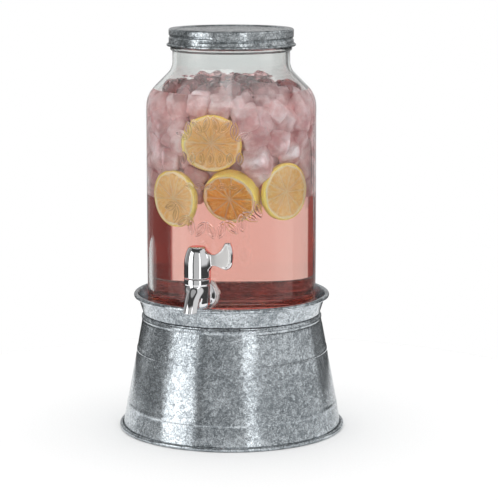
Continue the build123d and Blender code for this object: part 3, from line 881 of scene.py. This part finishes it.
def random_place(draw, widest):
    """A random angle round the axis, and a distance from it up to the widest, evenly over the disc."""
    return draw.uniform(0, 2 * math.pi), widest * math.sqrt(draw.uniform())


def ice_centres(draw):
    """Places for the cubes: packed at random, floating in the upper part of the drink."""
    found = []
    for _ in range(14000):
        turn, reach = random_place(draw, 73)
        height = 353 - 94 * draw.uniform() ** 1.1
        limit = 73 - max(0, height - 346) * 0.9
        if reach > limit:
            continue
        point = np.array([reach * math.sin(turn), -reach * math.cos(turn), height])
        if any(np.linalg.norm(point - other) < 15.0 for other in found):
            continue
        if hides_slice(point, 12.0):
            continue
        found.append(point)
    return found


def ice_cube(draw, centre, size, melted):
    """Points and faces of one melted cube: rounded, uneven and slightly hollowed."""
    steps = 9
    line_up = np.linspace(-1, 1, steps)
    points, faces = [], []
    for axis in range(3):
        for sign in (-1, 1):
            u, v = np.meshgrid(line_up, line_up, indexing="ij")
            face = np.stack([u, v, np.full_like(u, sign)], -1)
            face = np.roll(face, axis, axis=-1)
            faces += grid_faces(steps, steps, False, False, len(points) * steps * steps)
            points.append(face.reshape(-1, 3))
    points = np.concatenate(points)
    power = 8 - 60 * melted
    norm = (np.abs(points) ** power).sum(1) ** (1 / power)
    points = points / norm[:, None]
    phase = draw.uniform(0, 6, 3)
    lumps = 1 + melted * np.sin(3 * points + phase).sum(1) + 0.012 * np.sin(7 * points + phase[::-1]).sum(1)
    half = size * draw.uniform(0.82, 1.1, 3) / 2
    points = points * half * lumps[:, None]
    turn = Vector(draw.normal(size=3)).normalized()
    spin = np.array(Matrix.Rotation(draw.uniform(0, math.pi), 3, turn))
    return points @ spin.T + centre, faces


def ice_tips(draw):
    """Places for the small melted lumps that stand out of the drink."""
    found = []
    for _ in range(4000):
        turn, reach = random_place(draw, 66)
        point = np.array([reach * math.sin(turn), -reach * math.cos(turn), draw.uniform(360.5, 366.5)])
        if all(np.linalg.norm(point - other) > 11.5 for other in found):
            found.append(point)
    return found


def make_ice():
    """All the ice as two pieces: cloudy cubes in the drink, and the clearer lumps at the top."""
    draw = np.random.default_rng(ICE_SEED)
    for name, places, sizes, melted, material in (
        ("ice", ice_centres(draw), (21, 28), 0.03, ice),
        ("ice_top", ice_tips(draw), (13, 18), 0.07, clear_ice),
    ):
        points, faces, count = [], [], 0
        for centre in places:
            cube, quads = ice_cube(draw, centre, draw.uniform(*sizes), melted)
            faces += [[index + count for index in quad] for quad in quads]
            points.append(cube)
            count += len(cube)
        new_mesh(name, np.concatenate(points) * MM, faces, "jar", material, "ice", "ice_cubes")


# ---------- tap ----------
def surface_net(field, low, step):
    """Points and quads of the surface where a field sampled on a grid passes through zero."""
    inside = field < 0
    cells = tuple(n - 1 for n in field.shape)
    total, count = np.zeros(cells + (3,)), np.zeros(cells)
    crossings = []
    for axis in range(3):
        near, far = np.delete(field, -1, axis), np.delete(field, 0, axis)
        crossed = np.delete(inside, -1, axis) != np.delete(inside, 0, axis)
        share = np.where(crossed, near / np.where(crossed, near - far, 1), 0)
        place = np.moveaxis(np.indices(crossed.shape, float), 0, -1)
        place[..., axis] += share
        crossings.append(crossed)
        others = [n for n in range(3) if n != axis]
        for shift in ((0, 0), (0, 1), (1, 0), (1, 1)):
            part = [slice(None)] * 3
            for other, s in zip(others, shift):
                part[other] = slice(s, s + cells[other])
            part = tuple(part)
            total += place[part] * crossed[part][..., None]
            count += crossed[part]
    used = count > 0
    number = np.full(cells, -1)
    number[used] = np.arange(used.sum())
    points = total[used] / count[used][:, None] * step + low
    faces = []
    for axis, crossed in enumerate(crossings):
        where = np.argwhere(crossed)
        others = [n for n in range(3) if n != axis]
        keep = np.all([(where[:, o] > 0) & (where[:, o] < cells[o]) for o in others], axis=0)
        where = where[keep]
        corners = []
        for shift in ((1, 1), (0, 1), (0, 0), (1, 0)):
            at = where.copy()
            for other, s in zip(others, shift):
                at[:, other] -= s
            corners.append(number[tuple(at.T)])
        faces.append(np.stack(corners, -1))
    return points, np.concatenate(faces)


def carve(name, shape, low, high, material, slot, replaced, body="jar", step=0.6):
    """A smooth piece from a signed distance in mm, sampled on a grid and drawn onto the surface."""
    axes = [np.arange(a, b + step, step) for a, b in zip(low, high)]
    grid = np.stack(np.meshgrid(*axes, indexing="ij"), -1)
    field = shape(grid.reshape(-1, 3)).reshape(grid.shape[:3])
    points, faces = surface_net(field, np.array(low, float), step)
    for _ in range(3):
        here = shape(points)
        nudge = 0.05
        slope = [
            (shape(points + nudge * way) - shape(points - nudge * way)) / (2 * nudge) for way in np.eye(3)
        ]
        slope = np.stack(slope, -1)
        size = np.maximum((slope**2).sum(-1), 0.2)
        points = points - slope * np.clip(here / size, -0.4 * step, 0.4 * step)[:, None]
    return new_mesh(name, points * MM, faces.tolist(), body, material, slot, replaced)


def blend(a, b, width):
    """Union of two distances with a fillet about as wide as given."""
    share = np.clip(0.5 + 0.5 * (b - a) / width, 0, 1)
    return b * (1 - share) + a * share - width * share * (1 - share)


def both(a, b, width):
    """What two distances share, with its edge rounded."""
    return -blend(-a, -b, width)


def round_bar(reach, along, radius, start, end, edge):
    """Distance to a bar of the given radius between two places along its axis."""
    middle, half = (start + end) / 2, (end - start) / 2
    q0 = reach - radius + edge
    q1 = np.abs(along - middle) - half + edge
    return np.minimum(np.maximum(q0, q1), 0) + np.hypot(np.maximum(q0, 0), np.maximum(q1, 0)) - edge


# axis of the tap's housing, height of its shank and of the seam below the cap, in mm
TAP_Y = -109.0
TAP_Z = 159.7
TAP_SEAM = 179.4
# the spout's start, bend and mouth, as y and height
SPOUT = np.array([(-106.0, 167.5), (-123.5, 167.0), (-131.0, 145.0)])


def spout_distance(p):
    """Distance from the middle of the spout, and how far along it, from 0 to 1."""
    share = np.linspace(0, 1, 33)[:, None]
    path = (1 - share) ** 2 * SPOUT[0] + 2 * share * (1 - share) * SPOUT[1] + share**2 * SPOUT[2]
    best = np.full(len(p), 1e9)
    along = np.zeros(len(p))
    for n, (start, end) in enumerate(zip(path[:-1], path[1:])):
        way = end - start
        t = np.clip(((p[:, 1:] - start) @ way) / (way @ way), 0, 1)
        away = p[:, 1:] - start - t[:, None] * way
        distance = np.sqrt(p[:, 0] ** 2 + (away**2).sum(-1))
        closer = distance < best
        best = np.where(closer, distance, best)
        along = np.where(closer, (n + t) / (len(path) - 1), along)
    return best, along


def tap_body_shape(p):
    """Housing, spout, flange and threaded shank as one casting."""
    x, y, z = p.T
    reach = np.hypot(x, y - TAP_Y)
    belly = round_bar(reach, z, 13.2, 148.2, 205.0, 7.0)
    collar = round_bar(reach, z, 13.8, 173.4, 190.0, 0.7)
    housing = blend(belly, collar, 0.8)
    from_shank = np.hypot(x, z - TAP_Z)
    root = round_bar(from_shank, y, 9.0, TAP_Y, -94.5, 0.5)
    flange = round_bar(from_shank, y, 15.6, -95.6, -93.25, 0.8) - 0.02 * np.maximum(0, 15 - from_shank)
    thread = 0.32 * np.sin(2 * math.pi * y / 2.0 + np.arctan2(z - TAP_Z, x))
    shank = round_bar(from_shank, y, 7.7 + thread * (y > -84), -95.0, -66.0, 0.5)
    tube, along = spout_distance(p)
    spout = tube - (9.2 - 1.7 * smooth_step(along, 0.0, 0.75))
    metal = blend(blend(housing, root, 4.0), flange, 1.6)
    metal = blend(metal, spout, 3.0)
    metal = blend(metal, shank, 0.3)
    metal = both(metal, z - TAP_SEAM, 0.3)
    metal = both(metal, 147.0 - z, 0.6)
    plug_bore = round_bar(reach, z, 9.0, 153.5, 190.0, 0.3)
    spout_bore = np.where(along > 0.12, tube - 5.5, 5.0)
    waterway = round_bar(from_shank, y, 4.5, TAP_Y, -60.0, 0.3)
    for hole in (plug_bore, spout_bore, waterway):
        metal = both(metal, -hole, 0.3)
    return metal


# corners round the lever, as x and height in mm
LEVER = (
    (6, 206.5), (12.9, 205.4), (16.9, 204.3), (21.4, 205.6), (25.2, 208.8), (28.0, 213.4), (30.0, 217.6),
    (32.6, 219.0), (35.8, 217.2), (38.0, 211.5), (38.6, 204.5), (38.2, 198.0), (36.4, 192.4), (33.4, 189.8),
    (30.0, 189.4), (26.0, 190.8), (21.4, 192.7), (16.9, 193.5), (13.5, 191.0), (6, 184.5),
)


def smooth_loop(points, rounds=3):
    """A closed outline with its corners cut again and again until it is smooth."""
    points = np.array(points, float)
    for _ in range(rounds):
        after = np.roll(points, -1, axis=0)
        points = np.stack([0.75 * points + 0.25 * after, 0.25 * points + 0.75 * after], 1).reshape(-1, 2)
    return points


def outline_distance(x, z, outline):
    """Signed distance from a closed outline in a plane."""
    best = np.full(x.shape, 1e9)
    inside = np.zeros(x.shape, bool)
    for start, end in zip(outline, np.roll(outline, -1, axis=0)):
        way = end - start
        t = np.clip(((x - start[0]) * way[0] + (z - start[1]) * way[1]) / (way @ way), 0, 1)
        best = np.minimum(best, np.hypot(x - start[0] - t * way[0], z - start[1] - t * way[1]))
        crosses = (start[1] > z) != (end[1] > z)
        rise = way[1] if way[1] else 1e-9
        inside ^= crosses & (x < start[0] + (z - start[1]) * way[0] / rise)
    return np.where(inside, -best, best)


LEVER_LOOP = smooth_loop(LEVER)


def tap_handle_shape(p):
    """Bullet-shaped cap, flat on top, with the fan-shaped lever growing out of its side."""
    x, y, z = p.T
    reach = np.hypot(x, y - TAP_Y)
    high = np.clip((z - 190.0) / 26.5, 0, 1)
    bullet = 13.8 * (1 - high**2.3) ** (1 / 2.1)
    cap = (reach - bullet) * np.where(z > 190, 0.8, 1.0)
    cap = both(cap, z - 212.3, 1.6)
    flat = outline_distance(x, z, LEVER_LOOP)
    rim = np.exp(-(((flat + 1.5) / 1.3) ** 2)) * smooth_step(x, 27, 34)
    thick = 1.8 + 1.5 * rim + 2.6 * np.exp(-np.maximum(x - 13, 0) / 2.6)
    lever = both(flat, np.abs(y - TAP_Y) - thick, 1.3)
    metal = blend(cap, lever, 3.2)
    return both(metal, TAP_SEAM + 1.0 - z, 0.3)


def outer_washer_shape(p):
    """Soft ring squeezed between the flange and the glass, and moulded to the curve of the jar."""
    x, y, z = p.T
    from_shank = np.hypot(x, z - TAP_Z)
    ring = round_bar(from_shank, y, 17.0, -93.2, -80.0, 0.9)
    ring = both(ring, 8.0 - from_shank, 0.3)
    return both(ring, jar_radius / MM + 0.05 - np.hypot(x, y), 0.2)


def inner_washer_shape(p):
    """The ring that seals the inside of the jar."""
    x, y, z = p.T
    from_shank = np.hypot(x, z - TAP_Z)
    ring = round_bar(from_shank, y, 14.5, -90.0, -81.0, 0.6)
    ring = both(ring, 8.0 - from_shank, 0.3)
    return both(ring, np.hypot(x, y) - (jar_radius - JAR_WALL) / MM + 0.2, 0.2)


def nut_shape(p):
    """Six-sided nut with chamfered corners and a raised ring on its face."""
    x, y, z = p.T
    up = z - TAP_Z
    from_shank = np.hypot(x, up)
    sides = [np.abs(x * math.cos(a) + up * math.sin(a)) for a in np.radians((30, 90, 150))]
    nut = both(np.max(sides, axis=0) - 12.0, np.abs(y + 77.0) - 4.0, 0.5)
    nut = both(nut, from_shank - 12.6 - 0.6 * (y + 81.0), 0.4)
    ring = round_bar(from_shank, y, 10.5, -76.0, -72.2, 0.5)
    return both(blend(nut, ring, 0.4), 7.9 - from_shank, 0.3)


def make_tap():
    """Polished tap with a satin lever, its washers and its nut."""
    carve("tap_casting", tap_body_shape, (-16, -141, 146), (16, -64, 181), chrome, "chrome", "tap_body")
    low, high = (-16, -125, 178), (40, -93, 217)
    handle = carve(
        "tap_cap", tap_handle_shape, low, high, chrome, "chrome", "tap_handle", "tap_valve", 0.5
    )
    low, high = (-18, -94, 141), (18, -87, 178)
    carve("outer_washer", outer_washer_shape, low, high, silicone, "clear_washer", "tap_outer_washer")
    low, high = (-16, -87, 144), (16, -79, 176)
    carve("inner_washer", inner_washer_shape, low, high, silicone, "clear_washer", "tap_inner_washer")
    carve("jar_nut", nut_shape, (-15, -82, 145), (15, -71, 175), nut_plastic, "nut", "tap_nut")
    flatness = np.abs([vertex.normal.y for vertex in handle.data.vertices])
    on_lever = smooth_step(point_places(handle)[:, 0] / MM, 13.5, 18.0)
    point_values(handle, "satin", on_lever * smooth_step(flatness, 0.80, 0.95))


# ---------- floor, light and camera ----------
# degrees round from the front, metres, and the lens in mm
CAMERA_TURN = 18.7
CAMERA_REACH = 2.145
CAMERA_HEIGHT = 0.552
AIM_HEIGHT = 0.191
AIM_ASIDE = 0.0187
LENS = 146.2
PAPER_REACH = 0.45
PAPER_DROP = 0.1 * MM


def make_floor():
    """A round of white paper under the stand."""
    angles = turn_steps(96)
    points = [(PAPER_REACH * math.sin(a), -PAPER_REACH * math.cos(a), -PAPER_DROP) for a in angles]
    mesh = bpy.data.meshes.new("paper")
    mesh.from_pydata(points, [], [list(range(96))])
    mesh.materials.append(floor_paper("studio_paper"))
    add_object("paper", mesh)


# light on matt surfaces, the same from all sides, and what is added for those inside the glass
SOFT_LEVEL = 2.2
SOFT_THROUGH_GLASS = 1.85
# panels that shiny metal mirrors: from and to in degrees round from the camera,
# then in height, strength and softness
AROUND_LEVEL = 0.055
AROUND = (
    (-78, -43, -70, 30, 1.9, 2),
    (-27, 12, -70, 34, 0.50, 7),
    (18, 30, -70, 30, 1.6, 2),
    (38, 116, -2, 40, 0.66, 8),
    (-136, -86, -2, 40, 0.20, 4),
    (-180, -120, -2, 60, 0.20, 4),
    (130, 180, -2, 60, 0.20, 4),
    (-180, -150, 3, 40, 0.22, 4),
    (150, 180, 3, 40, 0.22, 4),
    (-180, 180, 62, 90, 0.35, 6),
)
# the faint gleam on the outside of the glass
GLEAM_LEVEL = 0.10
GLEAM = (
    (-72, -48, -70, 62, 0.4, 4),
    (-180, -150, -70, 62, 0.2, 4),
    (150, 180, -70, 62, 0.2, 4),
    (-60, 0, 26, 90, 3.6, 6),
    (-180, 180, 50, 90, 1.6, 8),
)
# what is seen through the glass: a white room with a dark screen at each side and a dim ceiling
BEHIND_LEVEL = 1.05
BEHIND = (
    (96, 154, -80, 80, -0.85, 3),
    (-136, -100, -80, 80, -0.6, 3),
    (-60, 60, -80, 80, -0.5, 10),
    (-180, 180, 28, 90, -0.35, 8),
)
# paths through little drink, and all light that passes through the glass, as shares
THIN_SHARE = 0.8
INSIDE_SHARE = 1.1
# colour of long paths through the drink, and how much of it those take that were mirrored on the way
DEEP_COLOUR = (0.82, 0.11, 0.07)
MIRRORED_DEEP = 0.7


def make_studio():
    """Soft studio surroundings: a pale room with broad light panels and dark gaps between them."""
    world = bpy.data.worlds.new("studio")
    bpy.context.scene.world = world
    n = Nodes(world)
    x, y, z = n.put("ShaderNodeSeparateXYZ", links={"Vector": n.coordinates["Generated"]}).outputs
    sine, cosine = math.sin(math.radians(CAMERA_TURN)), math.cos(math.radians(CAMERA_TURN))
    front = n.math("SUBTRACT", n.times(x, sine), n.times(y, cosine))
    right = n.plus(n.times(x, cosine), n.times(y, sine))
    turn = n.times(n.math("ARCTAN2", right, front), 180 / math.pi)
    rise = n.times(n.math("ARCSINE", z), 180 / math.pi)

    def panel(value, low, high, soft):
        """1 between low and high, fading over soft degrees at each end."""
        first = n.remap(value, low - soft, low, smooth=True)
        second = n.remap(value, high, high + soft, 1, 0, True)
        return n.times(first, second)

    def surroundings(level, panels):
        """Brightness all round: an even level with panels added to it."""
        for low, high, bottom, top, strength, soft in panels:
            area = n.times(panel(turn, low, high, soft), panel(rise, bottom, top, 6))
            level = n.plus(n.times(area, strength), level)
        return level

    path = n.tree.nodes.new("ShaderNodeLightPath").outputs
    mirrored = n.math("GREATER_THAN", path["Glossy Depth"], 0.5)
    passed = path["Is Transmission Ray"]
    around = surroundings(AROUND_LEVEL, AROUND)
    gleam = n.choose(path["Is Singular Ray"], around, surroundings(GLEAM_LEVEL, GLEAM))
    thick = n.math("GREATER_THAN", path["Transmission Depth"], 4.5)
    behind = n.times(surroundings(BEHIND_LEVEL, BEHIND), n.choose(thick, THIN_SHARE, 1.0))
    reflected = n.choose(passed, gleam, n.times(behind, INSIDE_SHARE))
    level = n.choose(mirrored, behind, reflected)
    through = n.math("MINIMUM", path["Transmission Depth"], 1)
    soft = n.plus(n.times(through, SOFT_THROUGH_GLASS), SOFT_LEVEL)
    level = n.choose(n.math("GREATER_THAN", path["Diffuse Depth"], 0.5), level, soft)
    level = n.choose(path["Is Camera Ray"], level, 1.0)
    # light that has been turned about inside the drink has a longer way through it
    dim = n.times(n.math("SUBTRACT", 1, n.math("MINIMUM", level, 1)), 1.6)
    share = n.math("MAXIMUM", n.math("MINIMUM", dim, 1), n.times(mirrored, MIRRORED_DEEP))
    deep = n.times(n.times(thick, passed), share)
    matt = n.math("LESS_THAN", path["Diffuse Depth"], 0.5)
    colour = n.mix(n.times(deep, matt), (1.0, 1.0, 1.0), DEEP_COLOUR)
    background = n.put("ShaderNodeBackground", links={"Color": colour, "Strength": level})
    n.finish(background.outputs[0], kind="ShaderNodeOutputWorld")
    world.cycles.sampling_method = "NONE"


def make_camera():
    """Camera at the front right, a little above the jar's shoulder."""
    turn = math.radians(CAMERA_TURN)
    place = Vector((CAMERA_REACH * math.sin(turn), -CAMERA_REACH * math.cos(turn), CAMERA_HEIGHT))
    aside = Vector((math.cos(turn), math.sin(turn), 0))
    aim = aside * AIM_ASIDE + Vector((0, 0, AIM_HEIGHT))
    data = bpy.data.cameras.new("camera")
    data.lens = LENS
    data.sensor_width = 36
    camera = add_object("camera", data)
    camera.location = place
    camera.rotation_euler = (aim - place).to_track_quat("-Z", "Y").to_euler()
    bpy.context.scene.camera = camera


def dress_cad_nodes():
    """Materials of the CAD pieces that are shown as they are."""
    for node, material in (
        ("stand_floor", zinc),
        ("stand_foot_wire", wire_steel),
        ("stand_rim_wire", wire_steel),
        ("lid_gasket", gasket_rubber),
        ("tap_plug", plug_plastic),
        ("tap_o_rings", seal_rubber),
    ):
        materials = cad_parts[node].data.materials
        materials.clear()
        materials.append(material)


def make_slices():
    """The four slices that lie against the front of the glass."""
    for number, each in enumerate(SLICES, start=1):
        lemon_slice(number, each[:5], each[5], each[6], 9 + number % 2, 20 + number)


make_camera()
make_studio()
make_floor()
make_stand()
make_lid()
make_jar()
make_drink()
make_slices()
make_ice()
make_tap()
dress_cad_nodes()

scene = bpy.context.scene
scene.view_settings.view_transform = "Standard"
scene.cycles.max_bounces = 24
scene.cycles.transmission_bounces = 24
scene.cycles.glossy_bounces = 6
scene.cycles.diffuse_bounces = 4
scene.cycles.transparent_max_bounces = 24
